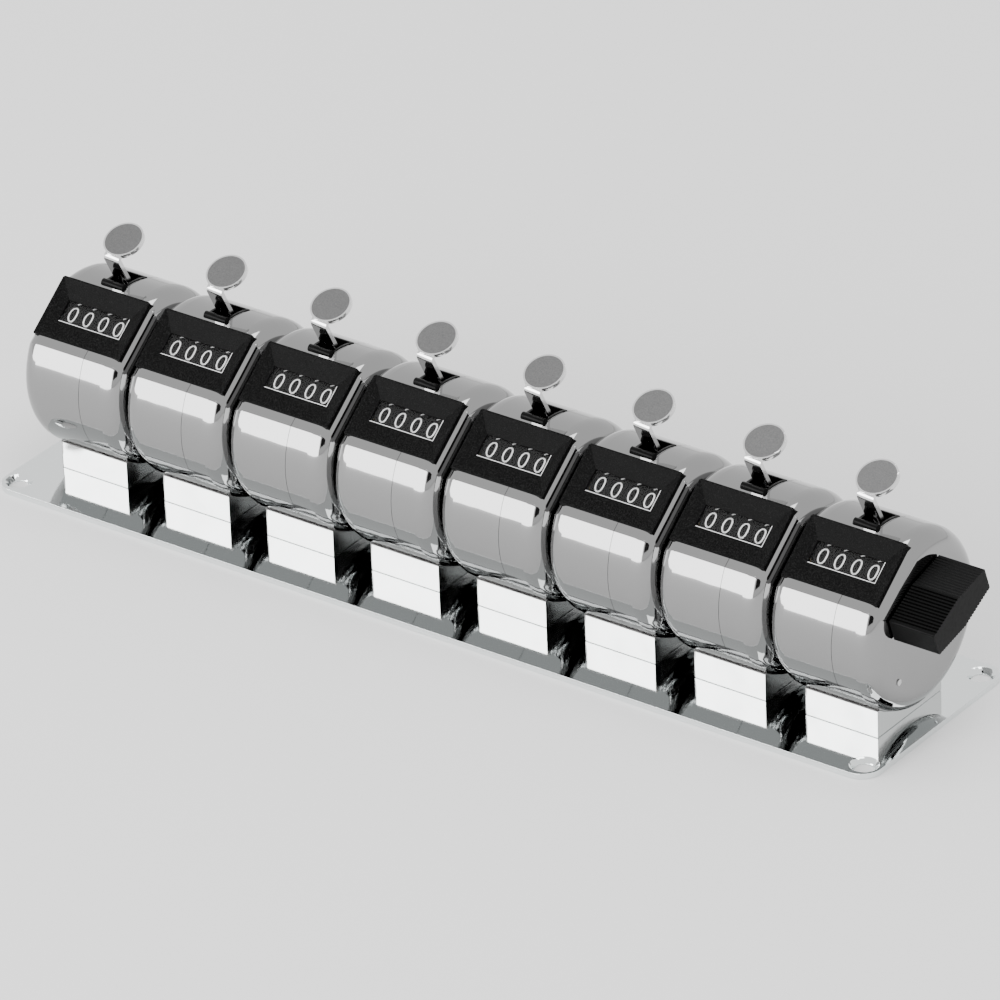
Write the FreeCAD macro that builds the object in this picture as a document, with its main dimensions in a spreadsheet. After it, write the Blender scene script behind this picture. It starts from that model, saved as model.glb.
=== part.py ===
import FreeCAD, Part
import os
import re

import Sketcher

# Bench tally counter: eight drum-shaped four-digit counters in a row on a mirror-polished plate.
#
# Each counter is a chromed two-cup drum with a bezel, a window, four digit wheels on a shaft that all
# the counters share, a sprung lever that steps the units wheel, and a folded stand under the drum.
# The knob at the right-hand end turns the shared shaft, which brings the wheels back to zero.
#
# Millimetres. X runs along the row to the right, Y to the back, Z up. The origin is the middle of the
# plate's underside. Pieces that repeat in every counter and don't move share one node.

SIZES = {
    # the row
    "counters": 8, "pitch": 32.1,
    # base plate, its corner holes and the screws that hold the counters
    "plate_length": 263, "plate_width": 60, "plate_thick": 1.5, "plate_corner": 5.5,
    "mount_span_x": 254, "mount_span_y": 50, "mount_hole": 2.35, "mount_sink": 3.6,
    "screw_shank": 1.45, "screw_head": 2.9, "screw_hole": 1.6, "screw_end": 8.4,
    "nut_flat": 2.75, "nut_low": 5.5, "nut_high": 8.42,
    # drum cases: two cups that meet off centre
    "drum_radius": 23, "drum_width": 31.36, "drum_round": 5.5, "wall": 0.7, "drum_y": 0.8, "drum_z": 27.5,
    "seam_x": 3.8, "seam_gap": 0.12,
    # stand under each drum
    "stand_x": 0.25, "stand_width": 21.1, "stand_depth": 27.1, "stand_height": 7.3, "stand_wall": 0.8,
    "stand_bend": 1, "stand_hem": 0.3, "cradle_gap": 0.05,
    # bezel and window, on a face tilted towards the reader
    "face_tilt": 37.65, "face_y": -10.7, "face_z": 45.45, "face_width": 27.3, "face_height": 16.9,
    "face_thick": 2.35, "face_corner": 0.4, "face_rim": 0.5, "face_gap": 0.1, "face_cut": 8,
    "face_proud": 0.1, "flat_reach": 12,
    "funnel_depth": 1.45,
    "window_width": 19.1, "window_height": 5.9, "lens_lap": 0.7, "lens_thick": 0.45, "lens_gap": 0.05,
    # lever slot and its liner
    "slot_x": 0.1, "slot_y": 2.65, "slot_width": 6.7, "slot_length": 10.3, "slot_wall": 0.7,
    "liner_front": -2.3, "liner_deep": 1.9, "liner_proud": 0.15,
    "lip_radius": 1, "lip_y": -2.2, "lip_rise": 22.88,
    # shared shaft, digit wheels and ratchet
    "fit_gap": 0.02, "keyway_width": 1, "keyway_depth": 0.3, "keyway_stop": 8,
    "shaft_depth": 10.5, "shaft_radius": 1.5, "shaft_left": 130.2, "shaft_right": 137, "shaft_gap": 0.05,
    "wheel_radius": 8, "wheel_width": 4.56, "digit_pitch": 4.76, "wheel_hub": 3, "wheel_rim": 7.2,
    "wheel_dish": 3.4, "notch_radius": 0.5, "notch_circle": 5.2, "notch_depth": 0.5, "digits": 10,
    "ratchet_tip": 7.9, "ratchet_root": 6.8, "ratchet_hole": 6, "ratchet_thick": 0.9,
    # lever, drawn with its stem upright and then leaned forward
    "lever_lean": 27, "lever_thick": 1.1, "lever_width": 4.6, "stem_offset": 11.95, "stem_top": 17.4,
    "stem_foot": 2, "pad_slope": -1.2, "pad_radius": 5.3, "pad_reach": 5.8, "neck_reach": 3,
    "bend_round": 1.5,
    "yoke_span": 24.4, "yoke_gap": 22, "yoke_open": 4, "hub_radius": 2.6,
    "finger_x": 9.65, "finger_thick": 0.8, "finger_tip": 8.4, "finger_half": 0.8,
    # frame and the small pieces that it carries
    "frame_span": 27.4, "frame_thick": 0.8, "frame_floor": 19, "bush_radius": 2.5, "bush_inner": 12.7,
    "bush_outer": 15.5, "pinion_y": 1.65, "pinion_z": 1.6, "pinion_shaft": 0.8, "pinion_tip": 2,
    "pinion_root": 1.3, "pinion_width": 3.4, "pinion_teeth": 8, "pin_y": -12.5, "pin_z": -9.9,
    "pin_radius": 0.6, "pin_head": 0.8, "pin_inner": 12.9, "pin_end": 15.95,
    "coil_radius": 2.3, "coil_wire": 0.22, "coil_x": -10.71, "coil_pitch": 0.5, "coil_turns": 2,
    "comb_thick": 0.3, "comb_span": 18.6, "comb_slit": 1, "comb_cut": 16, "comb_cut_z": -4,
    "comb_front": -4, "comb_foot": -10.6, "comb_tip": -11.7, "comb_top": 4,
    # reset knob at the right-hand end
    "knob_y": -4, "knob_z": 36.2, "knob_start": 128.45, "knob_length": 12.65, "knob_bar": 22.9,
    "knob_thick": 6.5, "knob_crown": 1.5, "knob_turn": 20, "knob_bore": 9, "knob_round": 0.4,
    "knob_ribs": 12, "knob_edge": 0.7, "rib_pitch": 0.88, "rib_groove": 0.45, "rib_depth": 0.35,
    "grub_radius": 1.25, "grub_length": 2.2, "grub_x": 132.5,
    "clip_radius": 3.2, "clip_thick": 0.6, "clip_x": 129.1,
}

ROW_START = "-(counters - 1) / 2 * pitch"
SHAFT_Y = "(face_y + shaft_depth * sin(face_tilt))"
SHAFT_Z = "(face_z - shaft_depth * cos(face_tilt))"
FAR = "60"
# corners of the frame's side plates, from the drum's axis: to the back and up
FRAME_CORNERS = [("-7", "-19"), ("7", "-19"), ("9", "-2"), ("3.5", "13.5"), ("-10.5", "13.5"),
                 ("-14", "-4"), ("-14.5", "-12")]
DIGIT_NAMES = ("thousands", "hundreds", "tens", "units")

doc = FreeCAD.newDocument("tally_counter")
sheet = doc.addObject("Spreadsheet::Sheet", "Sizes")
for row, (alias, size) in enumerate(SIZES.items(), 1):
    sheet.set(f"A{row}", alias)
    sheet.set(f"B{row}", str(size))
    sheet.setAlias(f"B{row}", alias)
doc.recompute()


# ---- helpers that bind sketches and features to the sheet

def sized(text):
    """The expression with every size name pointing at the sheet."""
    return re.sub(r"[a-z_]+", lambda m: f"Sizes.{m.group()}" if m.group() in SIZES else m.group(), text)


def number(text):
    """What an expression on the sheet's sizes comes to now."""
    return float(sheet_reader.evalExpression(sized(text)))


sheet_reader = doc.addObject("App::FeaturePython", "reader")


def new_body(label, x="0", y="0", z="0", tilt=None):
    """An empty body placed by expressions, turned about X by tilt degrees."""
    body = doc.addObject("PartDesign::Body", label)
    body.Label = label
    if tilt:
        body.Placement.Rotation = FreeCAD.Rotation(FreeCAD.Vector(1, 0, 0), number(tilt))
        body.setExpression("Placement.Rotation.Angle", sized(tilt))
    for axis, text in zip("xyz", (x, y, z)):
        body.setExpression(f"Placement.Base.{axis}", sized(text))
    return body


def origin_plane(body, role):
    """One of the body's own origin planes or axes."""
    return next(item for item in body.Origin.OriginFeatures if item.Role == role)


def new_sketch(body, plane="YZ_Plane", offset="0"):
    """A sketch on one of the body's origin planes, moved along the plane's normal by offset."""
    sketch = body.newObject("Sketcher::SketchObject", f"{body.Name}_sketch")
    sketch.AttachmentSupport = [(origin_plane(body, plane), "")]
    sketch.MapMode = "FlatFace"
    sketch.setExpression("AttachmentOffset.Base.z", sized(offset))
    return sketch


def fix_point(sketch, geometry, position, across, up):
    """Hold a point of the sketch at expressions measured from the sketch's origin."""
    for kind, text in (("DistanceX", across), ("DistanceY", up)):
        index = sketch.addConstraint(Sketcher.Constraint(kind, -1, 1, geometry, position, number(text)))
        sketch.setExpression(f"Constraints[{index}]", sized(text))


def outline(sketch, corners):
    """A closed outline of straight lines through corners given as pairs of expressions."""
    first = sketch.GeometryCount
    points = [FreeCAD.Vector(number(across), number(up), 0) for across, up in corners]
    for index, point in enumerate(points):
        sketch.addGeometry(Part.LineSegment(point, points[(index + 1) % len(points)]), False)
    for index, (across, up) in enumerate(corners):
        before = first + (index - 1) % len(corners)
        sketch.addConstraint(Sketcher.Constraint("Coincident", before, 2, first + index, 1))
        fix_point(sketch, first + index, 1, across, up)


def rectangle(sketch, width, height, x="0", y="0"):
    """A rectangle of the given width and height about its centre."""
    sides = [("-", "-"), ("+", "-"), ("+", "+"), ("-", "+")]
    outline(sketch, [(f"({x}) {a} ({width}) / 2", f"({y}) {b} ({height}) / 2") for a, b in sides])


def circle(sketch, radius, x="0", y="0"):
    """A circle about the point at x, y."""
    centre = FreeCAD.Vector(number(x), number(y), 0)
    geometry = sketch.addGeometry(Part.Circle(centre, FreeCAD.Vector(0, 0, 1), number(radius)), False)
    fix_point(sketch, geometry, 3, x, y)
    index = sketch.addConstraint(Sketcher.Constraint("Radius", geometry, number(radius)))
    sketch.setExpression(f"Constraints[{index}]", sized(radius))


def star(sketch, tip, root, teeth):
    """A toothed outline whose corners step between the tip and root radii."""
    corners = []
    for step in range(2 * teeth):
        radius = tip if step % 2 == 0 else root
        angle = 180 * step / teeth
        corners.append((f"{radius} * cos({angle})", f"{radius} * sin({angle})"))
    outline(sketch, corners)


def extrude(body, kind, sketch, length, both_ways=False, flip=False):
    """A pad or a pocket of the sketch; a pocket that cuts nothing is an error."""
    before = body.Shape.Volume if body.Tip else 0
    feature = body.newObject(f"PartDesign::{kind}", f"{body.Name}_{kind.lower()}")
    feature.Profile = sketch
    feature.SideType = "Symmetric" if both_ways else "One side"
    feature.Reversed = flip
    feature.setExpression("Length", sized(length))
    doc.recompute()
    change = body.Shape.Volume - before
    if (kind == "Pad" and change <= 0) or (kind == "Pocket" and change >= 0):
        raise ValueError(f"{feature.Name} changes the volume by {change:.3f}")
    return feature


def edges_where(shape, test):
    """Names of the edges whose centre passes the test."""
    return [f"Edge{index}" for index, edge in enumerate(shape.Edges, 1) if test(edge, edge.BoundBox.Center)]


def dress(body, kind, base, edges, size):
    """A fillet or chamfer of the given size on the named edges."""
    feature = body.newObject(f"PartDesign::{kind}", f"{body.Name}_{kind.lower()}")
    feature.Base = (base, edges)
    feature.setExpression("Radius" if kind == "Fillet" else "Size", sized(size))
    doc.recompute()
    return feature


def repeat(body, spacing="pitch", times="counters"):
    """Copies of the whole body along X."""
    pattern = body.newObject("PartDesign::LinearPattern", f"{body.Name}_row")
    pattern.TransformMode = "Whole shape"
    pattern.Direction = (origin_plane(body, "X_Axis"), [""])
    pattern.Mode = "Spacing"
    pattern.setExpression("Offset", sized(spacing))
    pattern.setExpression("Occurrences", sized(times))
    body.Tip = pattern
    doc.recompute()


def drum_body(label):
    """A body whose origin is the middle of the first counter's drum axis."""
    return new_body(label, ROW_START, "drum_y", "drum_z")


def face_body(label):
    """A body whose origin is the middle of the first bezel's face, Z along the face's normal."""
    return new_body(label, ROW_START, "face_y", "face_z", "face_tilt")


SHAFT_IN_DRUM = (f"{SHAFT_Y} - drum_y", f"{SHAFT_Z} - drum_z")


# ---- base plate and stands

def make_base_plate():
    """Flat plate with four countersunk corner holes and a countersunk hole under each counter."""
    body = new_body("base_plate")
    sketch = new_sketch(body, "XY_Plane")
    rectangle(sketch, "plate_length", "plate_width")
    slab = extrude(body, "Pad", sketch, "plate_thick")
    upright = edges_where(slab.Shape, lambda edge, mid: edge.BoundBox.ZLength > 1)
    dress(body, "Fillet", slab, upright, "plate_corner")
    holes = new_sketch(body, "XY_Plane")
    for side_x in ("-", "+"):
        for side_y in ("-", "+"):
            circle(holes, "mount_hole", f"{side_x} mount_span_x / 2", f"{side_y} mount_span_y / 2")
    for index in range(SIZES["counters"]):
        circle(holes, "screw_hole", f"{ROW_START} + {index} * pitch", "drum_y")
    pierced = extrude(body, "Pocket", holes, "plate_thick", flip=True)
    half = SIZES["plate_thick"] / 2
    rims = edges_where(pierced.Shape, lambda edge, mid: round_edge(edge, "mount_hole") and mid.z > half)
    sunk = dress(body, "Chamfer", pierced, rims, "mount_sink - mount_hole")
    rims = edges_where(sunk.Shape, lambda edge, mid: round_edge(edge, "screw_hole") and mid.z < half)
    dress(body, "Chamfer", sunk, rims, "screw_head + 3 * shaft_gap - screw_hole")
    return body


def round_edge(edge, radius):
    """Whether the edge is a full circle of the given size."""
    return edge.Curve.TypeId == "Part::GeomCircle" and abs(edge.Curve.Radius - SIZES[radius]) < 0.01


def make_stands():
    """Folded box under each drum, open at the top and cut to cradle it."""
    body = new_body("stands", ROW_START, "0", "plate_thick")
    sketch = new_sketch(body, "XY_Plane")
    rectangle(sketch, "stand_width", "stand_depth", "stand_x")
    block = extrude(body, "Pad", sketch, "stand_height")
    bend = edges_where(block.Shape, lambda edge, mid: edge.BoundBox.ZLength > 5 and mid.x < 0)
    bent = dress(body, "Fillet", block, bend, "stand_bend")
    hem = edges_where(bent.Shape, lambda edge, mid: mid.z < 0.01)
    dress(body, "Fillet", bent, hem, "stand_hem")
    hollow = new_sketch(body, "XY_Plane", "stand_wall")
    rectangle(hollow, "stand_width - 2 * stand_wall", "stand_depth - 2 * stand_wall", "stand_x")
    extrude(body, "Pocket", hollow, FAR, flip=True)
    cradle = new_sketch(body)
    circle(cradle, "drum_radius + cradle_gap", "drum_y", "drum_z - plate_thick")
    extrude(body, "Pocket", cradle, FAR, both_ways=True)
    hole = new_sketch(body, "XY_Plane")
    circle(hole, "screw_hole", "0", "drum_y")
    extrude(body, "Pocket", hole, "stand_wall", flip=True)
    repeat(body)
    return body


def make_base_screws():
    """Countersunk screw up through the plate, the stand and the drum, flush with the plate's underside."""
    body = new_body("base_screws", ROW_START, "drum_y")
    shank = new_sketch(body, "XY_Plane", "shaft_gap")
    circle(shank, "screw_shank")
    extrude(body, "Pad", shank, "screw_end - shaft_gap")
    head = new_sketch(body, "XY_Plane", "shaft_gap")
    circle(head, "screw_head")
    disc = extrude(body, "Pad", head, "screw_head - screw_shank + fit_gap")
    middle = number("shaft_gap + (screw_head - screw_shank) / 2")
    rim = edges_where(disc.Shape, lambda edge, mid: round_edge(edge, "screw_head") and mid.z > middle)
    dress(body, "Chamfer", disc, rim, "screw_head - screw_shank - fit_gap")
    repeat(body)
    return body


def make_base_nuts():
    """Hexagon nut between the drum's floor and the frame's floor."""
    body = new_body("base_nuts", ROW_START, "drum_y")
    sketch = new_sketch(body, "XY_Plane", "nut_low")
    corner = "nut_flat / cos(30)"
    outline(sketch, [(f"{corner} * cos({60 * k})", f"{corner} * sin({60 * k})") for k in range(6)])
    circle(sketch, "screw_shank + shaft_gap")
    extrude(body, "Pad", sketch, "nut_high - nut_low")
    repeat(body)
    return body


# ---- drum cases, bezel, window and slot liner

def make_slug(body, side, shrink):
    """A cup's outside as a solid: round, with a flat for the bezel and the rim rounded over.

    Shrink is taken off every face but the mouth, so that the same steps also make the inside.
    """
    sign = "+" if side > 0 else "-"
    sketch = new_sketch(body, "YZ_Plane", f"seam_x {sign} seam_gap / 2")
    circle(sketch, f"drum_radius - {shrink}")
    depth = f"drum_width / 2 {'-' if side > 0 else '+'} seam_x - seam_gap / 2 - {shrink}"
    extrude(body, "Pad", sketch, depth, flip=side < 0)
    flat = new_sketch(body)
    face_outline(flat, "flat_reach", f"-face_proud - {shrink}", "face_cut")
    slug = extrude(body, "Pocket", flat, FAR, both_ways=True)
    end = side * number(f"drum_width / 2 - {shrink}")
    rim = edges_where(slug.Shape, lambda edge, mid: abs(mid.x - end) < 0.01)
    dress(body, "Fillet", slug, rim, f"drum_round - {shrink}")


def make_case(label, side):
    """One cup of the drum; side is -1 for the deep left cup and +1 for the shallow right one."""
    body = drum_body(label)
    make_slug(body, side, "0")
    core = new_body(f"{label}_core")
    make_slug(core, side, "wall")
    hollow = body.newObject("PartDesign::Boolean", f"{label}_hollow")
    hollow.setObjects([core])
    hollow.Type = "Cut"
    doc.recompute()
    opening = new_sketch(body)
    face_outline(opening, "face_height / 2", "-face_cut", "face_cut")
    extrude(body, "Pocket", opening, "face_width", both_ways=True)
    shaft = new_sketch(body)
    circle(shaft, "bush_radius + shaft_gap", *SHAFT_IN_DRUM)
    extrude(body, "Pocket", shaft, FAR, both_ways=True)
    if side < 0:
        slot = new_sketch(body, "XY_Plane")
        rectangle(slot, "slot_width", "slot_length", "slot_x", "slot_y - drum_y")
        extrude(body, "Pocket", slot, FAR, flip=True)
        screw = new_sketch(body, "XY_Plane")
        circle(screw, "screw_hole")
        extrude(body, "Pocket", screw, FAR)
    else:
        pin = new_sketch(body)
        circle(pin, "pin_radius + shaft_gap", "pin_y", "pin_z")
        extrude(body, "Pocket", pin, FAR, both_ways=True)
    repeat(body)
    return body


def face_outline(sketch, reach, low, high):
    """A rectangle square to the tilted face, reach to each side and from low to high above it."""
    corners = []
    for slide, rise in ((f"-({reach})", low), (reach, low), (reach, high), (f"-({reach})", high)):
        across = f"face_y - drum_y + ({slide}) * cos(face_tilt) - ({rise}) * sin(face_tilt)"
        up = f"face_z - drum_z + ({slide}) * sin(face_tilt) + ({rise}) * cos(face_tilt)"
        corners.append((across, up))
    outline(sketch, corners)


def make_bezels():
    """Plastic frame whose four sides slope in to the window, with a seat for the window behind."""
    body = face_body("bezels")
    sketch = new_sketch(body, "XY_Plane")
    rectangle(sketch, "face_width - face_gap", "face_height - face_gap")
    block = extrude(body, "Pad", sketch, "face_thick", flip=True)
    upper = edges_where(block.Shape, lambda edge, mid: edge.BoundBox.ZLength > 2 and mid.y > 0)
    dress(body, "Chamfer", block, upper, "face_corner")
    wide = new_sketch(body, "XY_Plane")
    rectangle(wide, "face_width - 2 * face_rim", "face_height - 2 * face_rim")
    narrow = new_sketch(body, "XY_Plane", "-funnel_depth")
    rectangle(narrow, "window_width", "window_height")
    funnel = body.newObject("PartDesign::SubtractiveLoft", "bezels_funnel")
    funnel.Profile = wide
    funnel.Sections = [narrow]
    doc.recompute()
    aperture = new_sketch(body, "XY_Plane")
    rectangle(aperture, "window_width", "window_height")
    extrude(body, "Pocket", aperture, "face_thick")
    seat = new_sketch(body, "XY_Plane", "-face_thick")
    rectangle(seat, "window_width + 2 * lens_lap", "window_height + 2 * lens_lap")
    extrude(body, "Pocket", seat, "lens_thick + 2 * lens_gap", flip=True)
    repeat(body)
    return body


def make_windows():
    """Clear lens that sits in the seat behind each bezel."""
    body = face_body("windows")
    sketch = new_sketch(body, "XY_Plane", "lens_gap - face_thick")
    clear = "2 * lens_lap - 2 * lens_gap"
    rectangle(sketch, f"window_width + {clear}", f"window_height + {clear}")
    extrude(body, "Pad", sketch, "lens_thick")
    repeat(body)
    return body


def make_slot_liners():
    """Black collar in the lever slot, curved with the drum, with a rounded stop along its front."""
    body = drum_body("slot_liners")
    sketch = new_sketch(body, "XY_Plane")
    across = "slot_width - 2 * shaft_gap"
    back = "(slot_y + slot_length / 2 - shaft_gap)"
    rectangle(sketch, across, f"{back} - liner_front", "slot_x", f"({back} + liner_front) / 2 - drum_y")
    extrude(body, "Pad", sketch, "drum_radius + 3")
    inside = new_sketch(body, "XY_Plane")
    set_back = "slot_y - drum_y + slot_wall / 2"
    rectangle(inside, "slot_width - 2 * slot_wall", "slot_length - 3 * slot_wall", "slot_x", set_back)
    extrude(body, "Pocket", inside, FAR, flip=True)
    core = new_sketch(body)
    circle(core, "drum_radius - liner_deep")
    extrude(body, "Pocket", core, FAR, both_ways=True)
    crust = new_sketch(body)
    circle(crust, "drum_radius + liner_proud")
    circle(crust, FAR)
    extrude(body, "Pocket", crust, FAR, both_ways=True)
    lip = new_sketch(body, "YZ_Plane", "slot_x")
    circle(lip, "lip_radius", "lip_y", "lip_rise")
    extrude(body, "Pad", lip, across, both_ways=True)
    repeat(body)
    return body


# ---- mechanism

def make_frames():
    """Bent U inside each drum: two side plates on a floor, with holes for the bushes and pins."""
    body = drum_body("mechanism_frames")
    sketch = new_sketch(body)
    outline(sketch, FRAME_CORNERS)
    extrude(body, "Pad", sketch, "frame_span", both_ways=True)
    middle = new_sketch(body)
    rectangle(middle, FAR, FAR, "0", f"{FAR} / 2 + frame_thick - frame_floor")
    extrude(body, "Pocket", middle, "frame_span - 2 * frame_thick", both_ways=True)
    holes = new_sketch(body)
    circle(holes, "bush_radius + shaft_gap", *SHAFT_IN_DRUM)
    circle(holes, "pinion_shaft + shaft_gap", "pinion_y", "pinion_z")
    extrude(body, "Pocket", holes, FAR, both_ways=True)
    right = new_sketch(body)
    circle(right, "pin_radius + shaft_gap", "pin_y", "pin_z")
    extrude(body, "Pocket", right, FAR, flip=True)
    screw = new_sketch(body, "XY_Plane")
    circle(screw, "screw_hole")
    extrude(body, "Pocket", screw, FAR)
    repeat(body)
    return body


def make_bushes():
    """Bush in each side plate and drum end, round the shared shaft."""
    body = new_body("shaft_bushes", ROW_START, SHAFT_Y, SHAFT_Z)
    sketch = new_sketch(body)
    circle(sketch, "bush_radius")
    circle(sketch, "shaft_radius + shaft_gap")
    extrude(body, "Pad", sketch, "2 * bush_outer", both_ways=True)
    middle = new_sketch(body)
    circle(middle, "bush_radius + 1")
    extrude(body, "Pocket", middle, "2 * bush_inner", both_ways=True)
    repeat(body)
    return body


def make_carry_pinions():
    """Three small gears between the four wheels of each counter."""
    body = new_body("carry_pinions", f"{ROW_START} - digit_pitch", "drum_y + pinion_y", "drum_z + pinion_z")
    sketch = new_sketch(body)
    star(sketch, "pinion_tip", "pinion_root", SIZES["pinion_teeth"])
    circle(sketch, "pinion_shaft + shaft_gap")
    extrude(body, "Pad", sketch, "pinion_width", both_ways=True)
    repeat(body, "digit_pitch", "3")
    repeat(body)
    return body


def make_pinion_shafts():
    """Plain pin that carries the three pinions."""
    body = new_body("pinion_shafts", ROW_START, "drum_y + pinion_y", "drum_z + pinion_z")
    sketch = new_sketch(body)
    circle(sketch, "pinion_shaft")
    extrude(body, "Pad", sketch, "frame_span", both_ways=True)
    repeat(body)
    return body


def make_case_pins():
    """Small rivet whose domed head shows on the drum's right end."""
    body = new_body("case_pins", ROW_START, "drum_y + pin_y", "drum_z + pin_z")
    shank = new_sketch(body, "YZ_Plane", "pin_inner")
    circle(shank, "pin_radius")
    extrude(body, "Pad", shank, "pin_end - pin_inner")
    head = new_sketch(body, "YZ_Plane", "drum_width / 2 + fit_gap")
    circle(head, "pin_head")
    extrude(body, "Pad", head, "pin_end - drum_width / 2 - fit_gap")
    repeat(body)
    return body


def make_return_springs():
    """Coil of wire round the shaft beside each lever's left arm."""
    body = new_body("return_springs", ROW_START, SHAFT_Y, SHAFT_Z)
    sketch = new_sketch(body, "XY_Plane")
    circle(sketch, "coil_wire", "coil_x", "coil_radius")
    coil = body.newObject("PartDesign::AdditiveHelix", "return_springs_coil")
    coil.Profile = sketch
    coil.ReferenceAxis = (origin_plane(body, "X_Axis"), [""])
    coil.Mode = "pitch-turns-angle"
    coil.setExpression("Pitch", sized("coil_pitch"))
    coil.setExpression("Turns", sized("coil_turns"))
    doc.recompute()
    repeat(body)
    return body


def make_detent_combs():
    """Leaf spring with a finger for each wheel, fixed to the frame's floor."""
    body = drum_body("detent_combs")
    sketch = new_sketch(body)
    foot = "frame_thick - frame_floor + shaft_gap"
    outline(sketch, [("comb_front", foot), ("comb_front", f"{foot} + comb_thick"),
                     ("comb_foot", f"{foot} + comb_thick"), ("comb_tip", "comb_top"),
                     ("comb_tip - comb_thick", "comb_top"), ("comb_foot - comb_thick", foot)])
    extrude(body, "Pad", sketch, "comb_span", both_ways=True)
    slits = new_sketch(body, "XZ_Plane")
    for gap in (-1, 0, 1):
        rectangle(slits, "comb_slit", "comb_cut", f"{gap} * digit_pitch", "comb_cut_z")
    extrude(body, "Pocket", slits, FAR, both_ways=True)
    repeat(body)
    return body


def make_wheel(counter, place):
    """A digit wheel, dished on its left; the units wheel has the ratchet on its right."""
    label = f"counter_{counter + 1}_{DIGIT_NAMES[place]}_wheel"
    x = f"{ROW_START} + {counter} * pitch + {place - 1.5} * digit_pitch"
    body = new_body(label, x, SHAFT_Y, SHAFT_Z)
    sketch = new_sketch(body)
    circle(sketch, "wheel_radius")
    circle(sketch, "shaft_radius + shaft_gap")
    extrude(body, "Pad", sketch, "wheel_width", both_ways=True)
    dish = new_sketch(body, "YZ_Plane", "-wheel_width / 2")
    circle(dish, "wheel_rim")
    circle(dish, "wheel_hub")
    extrude(body, "Pocket", dish, "wheel_dish", flip=True)
    notches = new_sketch(body, "YZ_Plane", "wheel_width / 2")
    for step in range(SIZES["digits"]):
        angle = 360 * step / SIZES["digits"]
        circle(notches, "notch_radius", f"notch_circle * cos({angle})", f"notch_circle * sin({angle})")
    extrude(body, "Pocket", notches, "notch_depth")
    if DIGIT_NAMES[place] == "units":
        teeth = new_sketch(body, "YZ_Plane", "wheel_width / 2")
        star(teeth, "ratchet_tip", "ratchet_root", SIZES["digits"])
        circle(teeth, "ratchet_hole")
        extrude(body, "Pad", teeth, "ratchet_thick")
    return body


def make_lever(counter):
    """Stamped lever: round pad, neck, stem and a yoke whose arms turn on the shared shaft."""
    label = f"counter_{counter + 1}_lever"
    body = new_body(label, f"{ROW_START} + {counter} * pitch", SHAFT_Y, SHAFT_Z, "lever_lean")
    make_yoke(body)
    half = "lever_thick / 2"
    rise = f"{half} / cos(pad_slope) - {half} * tan(pad_slope)"
    tip_y = "stem_offset + neck_reach * cos(pad_slope)"
    tip_z = "stem_top + neck_reach * sin(pad_slope)"
    strip = new_sketch(body)
    outline(strip, [
        (f"stem_offset - {half}", "0"),
        (f"stem_offset - {half}", f"stem_top + {rise}"),
        (f"{tip_y} - {half} * sin(pad_slope)", f"{tip_z} + {half} * cos(pad_slope)"),
        (f"{tip_y} + {half} * sin(pad_slope)", f"{tip_z} - {half} * cos(pad_slope)"),
        (f"stem_offset + {half}", f"stem_top - ({rise})"),
        (f"stem_offset + {half}", "0"),
    ])
    stem = extrude(body, "Pad", strip, "lever_width", both_ways=True)
    front = number(f"stem_offset - {half}")
    bend = edges_where(stem.Shape, lambda edge, mid: abs(mid.y - front) < 0.01 and abs(mid.x) < 0.01
                       and mid.z > SIZES["stem_foot"] + 1)
    dress(body, "Fillet", stem, bend, "bend_round")
    disc = new_sketch(body, "XY_Plane", "0")
    disc.AttachmentOffset.Rotation = FreeCAD.Rotation(FreeCAD.Vector(1, 0, 0), SIZES["pad_slope"])
    disc.setExpression("AttachmentOffset.Rotation.Angle", sized("pad_slope"))
    disc.setExpression("AttachmentOffset.Base.y", sized("stem_offset + pad_reach * cos(pad_slope)"))
    disc.setExpression("AttachmentOffset.Base.z", sized("stem_top + pad_reach * sin(pad_slope)"))
    circle(disc, "pad_radius")
    extrude(body, "Pad", disc, "lever_thick", both_ways=True)
    return body


def make_yoke(body):
    """Cross bar behind the wheels, an arm down each side to the shaft, and the drive finger."""
    half = "lever_thick / 2"
    arms = new_sketch(body)
    outline(arms, [("0", "-hub_radius"), (f"stem_offset + {half}", "-stem_foot"),
                   (f"stem_offset + {half}", "stem_foot"), ("0", "hub_radius")])
    extrude(body, "Pad", arms, "yoke_span", both_ways=True)
    hub = new_sketch(body)
    circle(hub, "hub_radius")
    extrude(body, "Pad", hub, "yoke_span", both_ways=True)
    between = new_sketch(body)
    front = f"stem_offset - {half}"
    rectangle(between, f"{front} + yoke_open", "2 * yoke_open", f"({front} - yoke_open) / 2")
    extrude(body, "Pocket", between, "yoke_gap", both_ways=True)
    finger = new_sketch(body, "YZ_Plane", "finger_x")
    outline(finger, [("stem_offset", "-finger_half"), ("stem_offset", "finger_half"), ("finger_tip", "0")])
    extrude(body, "Pad", finger, "finger_thick")
    bore = new_sketch(body)
    circle(bore, "shaft_radius + shaft_gap")
    extrude(body, "Pocket", bore, FAR, both_ways=True)


# ---- reset shaft and knob

def make_reset_shaft():
    """The shaft that all the wheels turn on, from the left clip into the knob."""
    body = new_body("reset_shaft", "-shaft_left", SHAFT_Y, SHAFT_Z)
    sketch = new_sketch(body)
    circle(sketch, "shaft_radius")
    extrude(body, "Pad", sketch, "shaft_left + shaft_right")
    keyway = new_sketch(body)
    rectangle(keyway, "keyway_width", "2 * keyway_depth", "0", "-shaft_radius")
    extrude(body, "Pocket", keyway, "shaft_left + shaft_right - keyway_stop", flip=True)
    return body


def make_shaft_clip():
    """Ring clip that keeps the shaft from sliding out to the right."""
    body = new_body("shaft_clip", "-clip_x", SHAFT_Y, SHAFT_Z)
    sketch = new_sketch(body)
    circle(sketch, "clip_radius")
    circle(sketch, "shaft_radius + fit_gap")
    extrude(body, "Pad", sketch, "clip_thick", both_ways=True)
    return body


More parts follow.
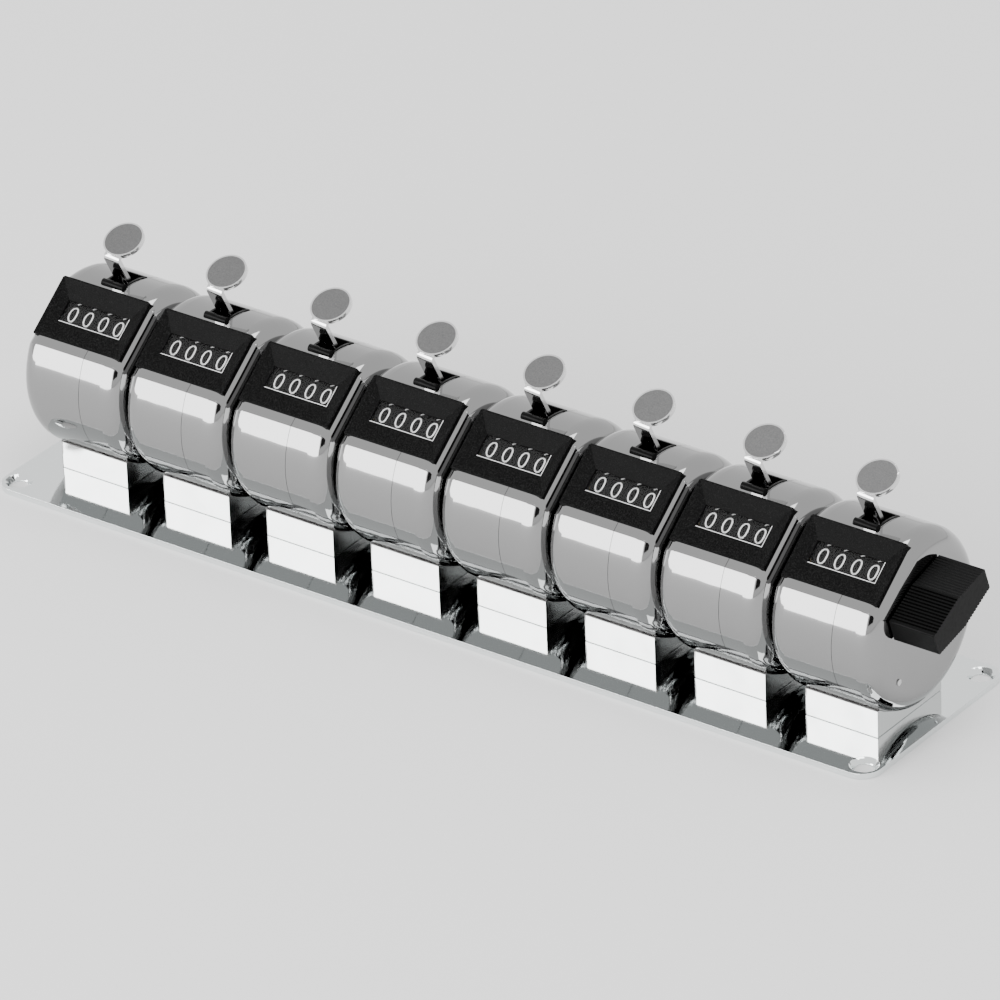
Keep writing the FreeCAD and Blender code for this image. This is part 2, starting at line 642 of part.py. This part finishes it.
def cut_ribs(body, end, side):
    """V grooves that leave ribs along half of a long face, from its short face to its crown."""
    sketch = new_sketch(body)
    for rib in range(SIZES["knob_ribs"]):
        corners = []
        for offset, out in ((-0.5, 0), (0.5, 0), (0.5, 1), (-0.5, 1)):
            deep = "-rib_depth" if out == 0 and offset > 0 else "rib_depth" if out else "0"
            along = f"((knob_edge + ({rib} + 0.5) * rib_pitch + {offset} * rib_groove) / (knob_bar / 2))"
            across = f"{end} knob_bar / 2 * (1 - {along})"
            corners.append((across, f"{side} (knob_thick / 2 + knob_crown * {along} + {deep})"))
        outline(sketch, corners)
    extrude(body, "Pocket", sketch, "knob_length", flip=True)


def make_reset_knob():
    """Bar knob, ribbed and crowned on both long faces, bored for the shaft and a grub screw."""
    body = new_body("reset_knob", "knob_start", SHAFT_Y, SHAFT_Z, "knob_turn")
    sketch = new_sketch(body)
    outline(sketch, [("-knob_bar / 2", "-knob_thick / 2"), ("0", "-knob_thick / 2 - knob_crown"),
                     ("knob_bar / 2", "-knob_thick / 2"), ("knob_bar / 2", "knob_thick / 2"),
                     ("0", "knob_thick / 2 + knob_crown"), ("-knob_bar / 2", "knob_thick / 2")])
    bar = extrude(body, "Pad", sketch, "knob_length")
    corners = edges_where(bar.Shape, lambda edge, mid: edge.BoundBox.XLength > 5 and abs(mid.y) > 2)
    dress(body, "Fillet", bar, corners, "knob_round")
    for end in "-+":
        for side in "-+":
            cut_ribs(body, end, side)
    bore = new_sketch(body)
    circle(bore, "shaft_radius + fit_gap")
    extrude(body, "Pocket", bore, "knob_bore", flip=True)
    thread = new_sketch(body, "XY_Plane")
    circle(thread, "grub_radius + fit_gap", "grub_x - knob_start", "0")
    extrude(body, "Pocket", thread, FAR)
    return body


def make_grub_screw():
    """Grub screw through the knob's hidden long face, against the shaft."""
    body = new_body("knob_grub_screw", "grub_x", SHAFT_Y, SHAFT_Z, "knob_turn")
    sketch = new_sketch(body, "XY_Plane", "-shaft_radius - shaft_gap")
    circle(sketch, "grub_radius")
    extrude(body, "Pad", sketch, "grub_length", flip=True)
    return body


def check(items):
    """Stop if any object failed to build or any sub-part isn't a sound solid."""
    for item in doc.Objects:
        if "Invalid" in item.State or "Error" in item.State:
            raise RuntimeError(f"{item.Name} failed: {item.State}")
    for item in items:
        if item.Shape.isNull() or not item.Shape.isValid() or not item.Shape.Solids:
            raise RuntimeError(f"{item.Label} has no sound solid")


def main():
    """Build every sub-part, check them and write one file each."""
    parts = [make_base_plate(), make_stands(), make_base_screws(), make_base_nuts(),
             make_case("left_cases", -1), make_case("right_cases", 1),
             make_bezels(), make_windows(), make_slot_liners(),
             make_frames(), make_bushes(), make_carry_pinions(), make_pinion_shafts(), make_case_pins(),
             make_return_springs(), make_detent_combs(),
             make_reset_shaft(), make_shaft_clip(), make_reset_knob(), make_grub_screw()]
    for counter in range(SIZES["counters"]):
        parts.append(make_lever(counter))
        for place in range(len(DIGIT_NAMES)):
            parts.append(make_wheel(counter, place))
    doc.recompute()
    check(parts)
    os.makedirs("parts", exist_ok=True)
    for part in parts:
        part.Shape.exportStep(f"parts/{part.Label}.step")
        print(f"{part.Label}: {len(part.Shape.Solids)} solids, {part.Shape.Volume:.1f} mm3")
    print(len(parts), "nodes")


main()
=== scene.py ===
# %% [markdown]
# # Bench tally counter
#
# Eight chromed counters stand in a row on a mirror-polished plate. The metalwork comes in as a
# finished frame with its real shapes, so most of this lesson is about finishes: chrome is nothing
# but reflections, so its quality comes from clean surfaces and from what stands around it.
# Pieces that are drawn or printed rather than machined, such as the digits, are made here.

# %% Load the frame
import math

import bpy
from mathutils import Matrix, Vector


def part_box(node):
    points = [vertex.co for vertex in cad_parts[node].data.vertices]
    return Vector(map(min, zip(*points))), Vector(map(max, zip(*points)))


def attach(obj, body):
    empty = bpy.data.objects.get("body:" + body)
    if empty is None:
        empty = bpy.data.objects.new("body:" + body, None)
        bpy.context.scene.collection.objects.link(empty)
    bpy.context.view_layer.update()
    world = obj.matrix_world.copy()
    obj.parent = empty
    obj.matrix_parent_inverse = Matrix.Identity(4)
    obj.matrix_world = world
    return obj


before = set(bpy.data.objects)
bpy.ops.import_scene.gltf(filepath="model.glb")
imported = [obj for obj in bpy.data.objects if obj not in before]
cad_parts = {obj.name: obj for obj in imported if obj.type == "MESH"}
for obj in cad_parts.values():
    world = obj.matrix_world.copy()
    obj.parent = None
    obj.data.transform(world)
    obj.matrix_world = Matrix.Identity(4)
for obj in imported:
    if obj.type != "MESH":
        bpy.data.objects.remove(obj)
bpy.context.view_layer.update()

MM = 0.001

# %% [markdown]
# The row's own measures are needed again and again: where each counter stands, and where the shaft
# that carries the digit wheels runs. They are read from the loaded nodes, so they always agree.

# %% Measures taken from the frame
COUNTERS = 8
PLACES = ("thousands", "hundreds", "tens", "units")
DIGITS = 10


def middle(node):
    """Centre of a node's box."""
    low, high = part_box(node)
    return (low + high) / 2


SHAFT = middle("reset_shaft")
WHEEL_LOW, WHEEL_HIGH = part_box("counter_1_tens_wheel")
WHEEL_RADIUS = (WHEEL_HIGH.z - WHEEL_LOW.z) / 2
COUNTER_X = [(middle(f"counter_{n}_tens_wheel").x + middle(f"counter_{n}_hundreds_wheel").x) / 2
             for n in range(1, COUNTERS + 1)]
FACE_TILT = math.radians(37.65)
print(f"shaft y {SHAFT.y / MM:.2f} z {SHAFT.z / MM:.2f}, wheel radius {WHEEL_RADIUS / MM:.2f}")

# %% [markdown]
# Shader graphs are easier to read as arithmetic than as wires. This class wraps a node's output, and
# writing `streaks * smears` adds the Math node. Any other node comes from one method, `add`, which
# sets the node's own settings first and then the values or links of its sockets.

# %% Shader arithmetic
NOISE_SPAN = (0.3, 0.7)


class Wire:
    """One output socket; multiplying it adds a Math node."""

    def __init__(self, paint, socket):
        self.paint = paint
        self.socket = socket

    def __mul__(self, other):
        return self.paint.add("ShaderNodeMath", {"operation": "MULTIPLY"}, {0: self, 1: other})

    __rmul__ = __mul__


class Paint:
    """A material under construction, with a Principled shader whose constants are set directly."""

    def __init__(self, name, **constants):
        self.material = bpy.data.materials.new(name)
        self.material.use_nodes = True
        self.nodes = self.material.node_tree.nodes
        self.links = self.material.node_tree.links
        self.shader = self.nodes["Principled BSDF"]
        for socket, value in constants.items():
            self.shader.inputs[socket.replace("_", " ")].default_value = value

    def add(self, kind, settings=None, inputs=None, output=0):
        node = self.nodes.new(kind)
        for name, value in (settings or {}).items():
            setattr(node, name, value)
        for name, value in (inputs or {}).items():
            if isinstance(value, Wire):
                self.links.new(value.socket, node.inputs[name])
            else:
                node.inputs[name].default_value = value
        return Wire(self, node.outputs[output])

    def feed(self, socket, wire):
        self.links.new(wire.socket, self.shader.inputs[socket])

    def place(self, scale=(1, 1, 1)):
        """Object coordinates, stretched by scale."""
        where = self.add("ShaderNodeTexCoord", output="Object")
        return self.add("ShaderNodeMapping", {}, {"Vector": where, "Scale": scale})

    def noise(self, vector, size_mm, detail=3.0, roughness=0.5):
        """Grey noise whose blotches are about size_mm across."""
        return self.add("ShaderNodeTexNoise", {}, {"Vector": vector, "Scale": 1 / (size_mm * MM),
                                                  "Detail": detail, "Roughness": roughness})

    def ramp(self, wire, low, high, start=0.0, end=1.0):
        """The wire's value from low..high mapped to start..end and held outside."""
        return self.add("ShaderNodeMapRange", {"clamp": True}, {
            "Value": wire, "From Min": low, "From Max": high, "To Min": start, "To Max": end})

    def blend(self, factor, first, second):
        """Colour between first and second."""
        return self.add("ShaderNodeMix", {"data_type": "RGBA"}, {0: factor, 6: first, 7: second},
                        output=2)

    def rough(self, pattern, smoothest, roughest):
        """Roughness that follows a noise pattern, which lies mostly within NOISE_SPAN."""
        self.feed("Roughness", self.ramp(pattern, *NOISE_SPAN, smoothest, roughest))

    def bump(self, height, depth_mm):
        """Raise the surface by height times depth_mm."""
        self.feed("Normal", self.add("ShaderNodeBump", {}, {
            "Height": height, "Distance": depth_mm * MM, "Strength": 1.0}))


def grey(value, warm=0.0):
    """A grey with an optional touch of warmth."""
    return (value * (1 + warm), value, value * (1 - warm), 1)


print("shader helpers ready")

# %% [markdown]
# **Metals.** Chrome is a clear mirror. The drums and pads are tinted darker than real chrome, because
# this room is paler than most and would wash them out. A perfect mirror looks drawn, so very slight
# waviness from the pressing and a trace of haze are mixed in.

# %% Metals
def make_case_chrome():
    paint = Paint("case_chrome", Metallic=1.0, Base_Color=grey(0.27))
    where = paint.place()
    haze = paint.noise(where, 9.0)
    paint.rough(haze, 0.035, 0.07)
    waves = paint.noise(where, 8.0, detail=1.0)
    paint.bump(waves, 0.05)
    return paint.material


def make_plate_mirror():
    paint = Paint("plate_mirror", Metallic=1.0, Base_Color=(0.79, 0.82, 0.82, 1))
    streaks = paint.noise(paint.place((1, 0.03, 1)), 0.4, detail=3.0, roughness=0.7)
    smears = paint.noise(paint.place(), 16.0)
    paint.feed("Roughness", paint.ramp(streaks * smears, 0.2, 0.42, 0.015, 0.06))
    paint.bump(streaks, 0.004)
    return paint.material


def make_plated_sheet():
    paint = Paint("plated_sheet", Metallic=1.0, Base_Color=grey(0.6, 0.006))
    cloud = paint.noise(paint.place(), 6.0)
    paint.rough(cloud, 0.1, 0.2)
    paint.bump(paint.noise(paint.place(), 9.0, detail=1.0), 0.05)
    return paint.material


def make_plain_steel():
    paint = Paint("plain_steel", Metallic=1.0, Base_Color=grey(0.55))
    grain = paint.noise(paint.place((1, 1, 0.1)), 0.5)
    paint.rough(grain, 0.22, 0.38)
    return paint.material


def make_lever_chrome():
    paint = Paint("lever_chrome", Metallic=1.0, Base_Color=grey(0.68))
    haze = paint.noise(paint.place(), 2.0)
    paint.rough(haze, 0.05, 0.1)
    paint.bump(paint.noise(paint.place(), 4.0, detail=1.0), 0.02)
    return paint.material


def make_pad_satin():
    paint = Paint("pad_satin", Metallic=1.0)
    fine = paint.noise(paint.place(), 0.3)
    paint.feed("Base Color", paint.blend(paint.ramp(fine, *NOISE_SPAN), grey(0.13), grey(0.18)))
    paint.rough(fine, 0.3, 0.42)
    paint.bump(fine, 0.015)
    return paint.material


def make_brass():
    paint = Paint("turned_brass", Metallic=1.0, Base_Color=(0.72, 0.55, 0.26, 1))
    rings = paint.noise(paint.place((0.2, 1, 1)), 0.4)
    paint.rough(rings, 0.18, 0.34)
    return paint.material


METALS = {"case": make_case_chrome(), "plate": make_plate_mirror(), "sheet": make_plated_sheet(),
          "steel": make_plain_steel(), "lever": make_lever_chrome(), "pad": make_pad_satin(),
          "brass": make_brass()}
print("metals:", ", ".join(METALS))

# %% [markdown]
# **Black mouldings.** The bezel has a fine spark-eroded grain: a tiny, sharp bump that breaks up its
# highlight. The knob is a plainer black, and the wheels are satin with crisp white numerals. Their
# shine is turned well down for the same pale room.

# %% Plastics, paint and glass
def make_bezel_grain():
    paint = Paint("bezel_grain", Specular_IOR_Level=0.05)
    grain = paint.noise(paint.place(), 0.3, detail=2.0, roughness=0.7)
    specks = paint.ramp(grain, 0.5, 0.68)
    paint.rough(grain, 0.28, 0.5)
    paint.feed("Base Color", paint.blend(specks, grey(0.0005), grey(0.012)))
    paint.bump(specks, 0.1)
    return paint.material


def make_black_moulding(name, tint, rough):
    paint = Paint(name, Base_Color=grey(tint), Specular_IOR_Level=0.06)
    cloud = paint.noise(paint.place(), 0.8)
    paint.rough(cloud, rough, rough + 0.14)
    paint.bump(cloud, 0.01)
    return paint.material


def make_digit_paint():
    paint = Paint("digit_paint")
    wear = paint.noise(paint.place(), 0.5)
    paint.feed("Base Color", paint.blend(paint.ramp(wear, 0.3, 0.6), grey(0.72), grey(0.86)))
    paint.rough(wear, 0.45, 0.6)
    return paint.material


def make_gear_white():
    paint = Paint("gear_white", Base_Color=grey(0.78, 0.02))
    cloud = paint.noise(paint.place(), 0.6)
    paint.rough(cloud, 0.4, 0.5)
    return paint.material


def make_lens_clear():
    paint = Paint("lens_clear", Base_Color=grey(0.02), Alpha=0.16)
    smear = paint.noise(paint.place(), 3.0)
    paint.rough(smear, 0.03, 0.08)
    return paint.material


# Pale plastic that paints the highlight along the lit window edges.
def make_lens_edge():
    paint = Paint("painted_lens_glint", Base_Color=grey(0.5))
    chips = paint.noise(paint.place(), 0.4)
    paint.rough(chips, 0.2, 0.4)
    return paint.material


PLASTICS = {"bezel": make_bezel_grain(), "knob": make_black_moulding("knob_black", 0.0012, 0.3),
            "trim": make_black_moulding("trim_black", 0.0008, 0.25),
            "wheel": make_black_moulding("wheel_black", 0.001, 0.5),
            "digit": make_digit_paint(), "gear": make_gear_white(), "lens": make_lens_clear(),
            "painted lens glint": make_lens_edge()}
print("plastics:", ", ".join(PLASTICS))

# %% [markdown]
# **Dressing the frame.** Every node gets its finish. Stamped and moulded pieces never have perfectly
# sharp edges, and it is the tiny rounded edge that catches the light. The node's mesh is loose
# triangles, so a Weld modifier joins them first and a Bevel then rounds the corners.

# %% Finishes and softened edges on the frame's nodes
FINISHES = {
    "base_plate": METALS["plate"], "stands": METALS["sheet"], "base_screws": METALS["steel"],
    "base_nuts": METALS["steel"], "left_cases": METALS["case"], "right_cases": METALS["case"],
    "bezels": PLASTICS["bezel"], "windows": PLASTICS["lens"], "slot_liners": PLASTICS["trim"],
    "mechanism_frames": METALS["steel"], "shaft_bushes": METALS["brass"],
    "carry_pinions": PLASTICS["gear"], "pinion_shafts": METALS["steel"],
    "case_pins": METALS["steel"], "return_springs": METALS["steel"],
    "detent_combs": METALS["steel"], "reset_shaft": METALS["steel"], "shaft_clip": METALS["steel"],
    "reset_knob": PLASTICS["knob"], "knob_grub_screw": METALS["steel"],
}
SOFT_EDGES = {"base_plate": 0.25, "stands": 0.15, "bezels": 0.18, "slot_liners": 0.12,
              "reset_knob": 0.08}
LEVER_EDGE = 0.2
WELD_GAP = 0.002 * MM
SHARP_ANGLE = math.radians(35)
ROUND_STEPS = 2


def dress(node, material):
    """Give a node its only material."""
    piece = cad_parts[node]
    piece.data.materials.clear()
    piece.data.materials.append(material)
    return piece


def soften(piece, radius_mm):
    """Join the node's loose triangles and round its sharp edges."""
    weld = piece.modifiers.new("join", "WELD")
    weld.merge_threshold = WELD_GAP
    bevel = piece.modifiers.new("soften", "BEVEL")
    bevel.width = radius_mm * MM
    bevel.segments = ROUND_STEPS
    bevel.limit_method = "ANGLE"
    bevel.angle_limit = SHARP_ANGLE
    bevel.harden_normals = True


for node, material in FINISHES.items():
    dress(node, material)
for number in range(1, COUNTERS + 1):
    soften(dress(f"counter_{number}_lever", METALS["lever"]), LEVER_EDGE)
    for place in PLACES:
        dress(f"counter_{number}_{place}_wheel", PLASTICS["wheel"])
for node, radius in SOFT_EDGES.items():
    soften(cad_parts[node], radius)
print("dressed", len(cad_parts), "nodes")

# %% [markdown]
# **Satin face of the thumb pads.** Only the flat top of each pad is satin; its rim stays bright. A
# mask in the shader would have to know where each pad is, so a thin satin disc is laid into the pad
# instead, a little smaller than the pad. The bright rim is then simply the chrome that is left.

# %% Where a thumb pad's face is
PAD_SLOPE = math.radians(25.8)
PAD_RADIUS = 5.3 * MM
PAD_RIM = 0.42 * MM
PAD_SKIN = 0.05 * MM
DISC_SIDES = 64


def deselect():
    """Leave edit mode and select nothing."""
    if bpy.context.object and bpy.context.object.mode != "OBJECT":
        bpy.ops.object.mode_set(mode="OBJECT")
    bpy.ops.object.select_all(action="DESELECT")


def tilted(angle, spot):
    """A turn about X by angle, then a move to spot."""
    return Matrix.Translation(spot) @ Matrix.Rotation(angle, 4, "X")


def pad_centre(number):
    """Middle of a thumb pad's upper face, measured from the pad's far edge."""
    node = f"counter_{number}_lever"
    back = Vector((0, math.cos(PAD_SLOPE), math.sin(PAD_SLOPE)))
    up = Vector((0, -math.sin(PAD_SLOPE), math.cos(PAD_SLOPE)))
    corners = [vertex.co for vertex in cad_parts[node].data.vertices]
    far = max(corner.dot(back) for corner in corners) - PAD_RADIUS
    high = max(corner.dot(up) for corner in corners)
    return back * far + up * high + Vector((COUNTER_X[number - 1], 0, 0))


print("first pad at, mm:", [round(v / MM, 2) for v in pad_centre(1)])

# %% One satin disc, copied to every pad
def copy_piece(piece, name, place, body, material):
    """A copy of the piece with its own mesh, put at place, that rides with a body."""
    copy = bpy.data.objects.new(name, piece.data.copy())
    bpy.context.scene.collection.objects.link(copy)
    copy.data.transform(place)
    copy.data.materials.clear()
    copy.data.materials.append(material)
    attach(copy, body)


def make_pad_disc():
    """A thin disc whose upper edge is rounded over."""
    deselect()
    bpy.ops.mesh.primitive_cylinder_add(vertices=DISC_SIDES, radius=PAD_RADIUS - PAD_RIM,
                                        depth=PAD_SKIN)
    disc = bpy.context.object
    bevel = disc.modifiers.new("round", "BEVEL")
    bevel.width = PAD_SKIN / 3
    bevel.segments = ROUND_STEPS
    bpy.ops.object.modifier_apply(modifier="round")
    return disc


pad_disc = make_pad_disc()
for number in range(1, COUNTERS + 1):
    copy_piece(pad_disc, f"counter_{number}_pad_face", tilted(PAD_SLOPE, pad_centre(number)),
               f"counter_{number}_lever", METALS["pad"])
bpy.data.objects.remove(pad_disc)
print("satin discs:", COUNTERS)

# %% [markdown]
# ** Painted highlights on the window edges.** Light runs inside a clear lens and comes out at its
# edges, so a bright hairline shows along the bottom and the right of each window. Glass that is
# rendered as plain transparency doesn't pipe light, so this highlight is painted: the two lit edges
# are one thin L of pale plastic, a plane inset by the line's width, with the middle and two of the
# sides taken away.

# %% One painted highlight, copied to every window
WINDOW_WIDTH = 19.1 * MM
WINDOW_HEIGHT = 5.9 * MM
EDGE_WIDTH = 0.15 * MM
EDGE_THICK = 0.06 * MM
EDGE_RISE = 0.6 * MM
NEAR_MIDDLE = 0.1


def make_window_edge():
    """A painted highlight: an L along the bottom and the right of the window, flat in XY."""
    deselect()
    bpy.ops.mesh.primitive_plane_add(size=1)
    edge = bpy.context.object
    edge.data.transform(Matrix.Diagonal((WINDOW_WIDTH, WINDOW_HEIGHT, 1, 1)))
    bpy.ops.object.mode_set(mode="EDIT")
    bpy.ops.mesh.select_all(action="SELECT")
    bpy.ops.mesh.inset(thickness=EDGE_WIDTH)
    bpy.ops.object.mode_set(mode="OBJECT")
    for face in edge.data.polygons:
        # Above nothing only for the strips at the right and the bottom, which stay.
        side = face.center.x / WINDOW_WIDTH - face.center.y / WINDOW_HEIGHT
        face.select = side < NEAR_MIDDLE
    bpy.ops.object.mode_set(mode="EDIT")
    bpy.ops.mesh.delete(type="FACE")
    bpy.ops.mesh.select_all(action="SELECT")
    bpy.ops.mesh.extrude_region_move(TRANSFORM_OT_translate={"value": (0, 0, EDGE_THICK)})
    bpy.ops.mesh.select_all(action="SELECT")
    bpy.ops.mesh.normals_make_consistent(inside=False)
    bpy.ops.object.mode_set(mode="OBJECT")
    return edge


painted_window_glint = make_window_edge()
LENS = middle("windows")
FACE_UP = Vector((0, -math.sin(FACE_TILT), math.cos(FACE_TILT)))
# Each copy is the painted highlight on one window's lit edges.
for number, x in enumerate(COUNTER_X, 1):
    spot = Vector((x, LENS.y, LENS.z)) + FACE_UP * EDGE_RISE
    copy_piece(painted_window_glint, f"painted_window_glint_{number}", tilted(FACE_TILT, spot), "base",
               PLASTICS["painted lens glint"])
bpy.data.objects.remove(painted_window_glint)
print("painted window glints:", COUNTERS)

# %% [markdown]
# **Numerals on the wheels.** Each wheel carries 0 to 9 in narrow rounded figures. A figure could be
# painted by a texture, but real figures that follow the wheel stay sharp at any distance. Each one is
# a text object turned into a mesh, cut into bands so that it can curve, and wrapped round the wheel.

# %% One set of numerals, wrapped round a wheel
DIGIT_HEIGHT = 4.3 * MM
DIGIT_WIDTH = 2.55 * MM
DIGIT_LIFT = 0.03 * MM
DIGIT_BANDS = 8
STROKE_TRIM = 0.06 * MM


def flat_digit(character):
    """One figure as a flat mesh, centred and scaled to its size, cut into bands."""
    deselect()
    bpy.ops.object.text_add()
    text = bpy.context.object
    text.data.body = character
    text.data.size = DIGIT_HEIGHT
    text.data.resolution_u = 3
    text.data.offset = -STROKE_TRIM
    bpy.ops.object.convert(target="MESH")
    digit = bpy.context.object
    corners = [Vector(c) for c in digit.bound_box]
    low = Vector(map(min, *corners))
    high = Vector(map(max, *corners))
    width = DIGIT_WIDTH if character != "1" else DIGIT_WIDTH / 2
    fit = Matrix.Diagonal((width / (high.x - low.x), DIGIT_HEIGHT / (high.y - low.y), 1, 1))
    digit.data.transform(fit @ Matrix.Translation(-(low + high) / 2))
    bpy.ops.object.mode_set(mode="EDIT")
    for band in range(1, DIGIT_BANDS):
        bpy.ops.mesh.select_all(action="SELECT")
        height = (band / DIGIT_BANDS - 0.5) * DIGIT_HEIGHT
        bpy.ops.mesh.bisect(plane_co=(0, height, 0), plane_no=(0, 1, 0))
    bpy.ops.object.mode_set(mode="OBJECT")
    return digit


def wrap(digit, value):
    """Curve a flat figure round the wheel so that its value's place is a tenth of a turn each."""
    radius = WHEEL_RADIUS + DIGIT_LIFT
    start = FACE_TILT + math.tau * value / DIGITS
    for vertex in digit.data.vertices:
        angle = start - vertex.co.y / radius
        vertex.co = (vertex.co.x, -radius * math.sin(angle), radius * math.cos(angle))


def make_numerals():
    """All ten figures as one mesh round the X axis."""
    digits = []
    for value in range(DIGITS):
        digit = flat_digit(str(value))
        wrap(digit, value)
        digits.append(digit)
    deselect()
    for digit in digits:
        digit.select_set(True)
    bpy.context.view_layer.objects.active = digits[0]
    bpy.ops.object.join()
    return bpy.context.object


numerals = make_numerals()
print("numerals:", len(numerals.data.polygons), "faces")

# %% [markdown]
# The set is modelled once and copied to every wheel. Each copy has its own mesh, moved to its wheel,
# and rides on that wheel's body, so it turns with it.

# %% Numerals on every wheel
def numerals_on(number, place):
    """A copy of the numerals on one wheel."""
    wheel = f"counter_{number}_{place}_wheel"
    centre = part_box(wheel)[0].x + (WHEEL_HIGH.x - WHEEL_LOW.x) / 2
    copy_piece(numerals, f"counter_{number}_{place}_digits",
               Matrix.Translation((centre, SHAFT.y, SHAFT.z)), wheel, PLASTICS["digit"])


for number in range(1, COUNTERS + 1):
    for place in PLACES:
        numerals_on(number, place)
bpy.data.objects.remove(numerals)
print("digit rings:", COUNTERS * len(PLACES))

# %% [markdown]
# **Camera.** A long lens from the front right, above the row, flattens the perspective so that the
# eight counters keep nearly the same size. The camera is aimed by its own right and up vectors,
# with a slight roll.

# %% Camera
AZIMUTH = math.radians(36.944)
ELEVATION = math.radians(29.016)
ROLL = math.radians(-2.027)
DISTANCE = 2.197
ASIDE = 2.57 * MM
RAISED = 18.4 * MM
FOCAL_LENGTH = 324
FAR_CLIP = 20
PLATE_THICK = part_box("base_plate")[1].z


def aim_camera():
    """A camera that looks along the direction given by azimuth and elevation."""
    back = Vector((math.sin(AZIMUTH) * math.cos(ELEVATION), -math.cos(AZIMUTH) * math.cos(ELEVATION),
                   math.sin(ELEVATION)))
    level = (-back).cross(Vector((0, 0, 1))).normalized()
    upright = level.cross(-back)
    right = level * math.cos(ROLL) + upright * math.sin(ROLL)
    up = upright * math.cos(ROLL) - level * math.sin(ROLL)
    camera = bpy.data.objects.new("camera", bpy.data.cameras.new("camera"))
    bpy.context.scene.collection.objects.link(camera)
    spot = back * DISTANCE + right * ASIDE + up * RAISED + Vector((0, 0, PLATE_THICK))
    camera.matrix_world = Matrix.Translation(spot) @ Matrix((right, up, back)).transposed().to_4x4()
    camera.data.lens = FOCAL_LENGTH
    camera.data.clip_end = FAR_CLIP
    bpy.context.scene.camera = camera


aim_camera()
print("camera at", [round(v, 3) for v in bpy.context.scene.camera.location])

# %% [markdown]
# **Studio.** The row stands on a plain pale floor. Chrome shows the room, so the lights are placed
# for their reflections: a wide soft panel in front makes the white band high on each drum, one above
# gives the pale tops, and a dark card behind the camera draws the dark hook beside the band.

# %% Floor, world and soft lights
FLOOR_SIZE = 14
FLOOR_DROP = 0.02 * MM
FLOOR_TINT = 0.62
ROOM_TINT = 1.4
MATT = 0.9
FLAG_AZIMUTH = math.radians(38)
FLAG_AWAY = 2.6
FLAG_RAISED = 0.95
FLAG_WIDTH = 0.9
FLAG_HEIGHT = 1.2
FLAG_TINT = 0.01
FRONT_PANEL = {"spot": (-0.46, -1.29, 0.5), "size": (2.5, 1.0), "power": 72, "target": (0, 0, 0.5)}
TOP_PANEL = {"spot": (0.3, 0.3, 1.8), "size": (1.6, 1.2), "power": 32, "target": (0, 0, 0)}


def make_floor():
    bpy.ops.mesh.primitive_plane_add(size=FLOOR_SIZE)
    floor = bpy.context.object
    floor.name = "floor"
    floor.data.transform(Matrix.Translation((0, 0, -FLOOR_DROP)))
    paint = Paint("floor_white", Base_Color=grey(FLOOR_TINT), Roughness=MATT)
    floor.data.materials.append(paint.material)


def make_world():
    world = bpy.data.worlds.new("room")
    world.use_nodes = True
    background = world.node_tree.nodes["Background"]
    background.inputs["Color"].default_value = grey(ROOM_TINT)
    bpy.context.scene.world = world


def make_flag():
    """A dark card behind the camera; the chrome shows it as the dark hook beside the white band."""
    bpy.ops.mesh.primitive_plane_add(size=1)
    flag = bpy.context.object
    flag.name = "dark_flag"
    flag.data.transform(Matrix.Diagonal((FLAG_WIDTH, FLAG_HEIGHT, 1, 1)))
    spot = Vector((math.sin(FLAG_AZIMUTH) * FLAG_AWAY, -math.cos(FLAG_AZIMUTH) * FLAG_AWAY, FLAG_RAISED))
    flag.data.transform(Matrix.Translation(spot) @ Matrix.Rotation(FLAG_AZIMUTH, 4, "Z")
                        @ Matrix.Rotation(math.pi / 2, 4, "X"))
    paint = Paint("flag_black", Base_Color=grey(FLAG_TINT), Roughness=MATT)
    flag.data.materials.append(paint.material)


def soft_light(name, spot, size, power, target):
    """A rectangular soft panel at spot that faces target."""
    light = bpy.data.lights.new(name, "AREA")
    light.shape = "RECTANGLE"
    light.size, light.size_y = size
    light.energy = power
    lamp = bpy.data.objects.new(name, light)
    bpy.context.scene.collection.objects.link(lamp)
    lamp.location = spot
    lamp.rotation_euler = (Vector(target) - Vector(spot)).to_track_quat("-Z", "Y").to_euler()


deselect()
make_floor()
make_world()
make_flag()
soft_light("front_panel", **FRONT_PANEL)
soft_light("top_panel", **TOP_PANEL)
bpy.context.view_layer.update()
print("studio ready")
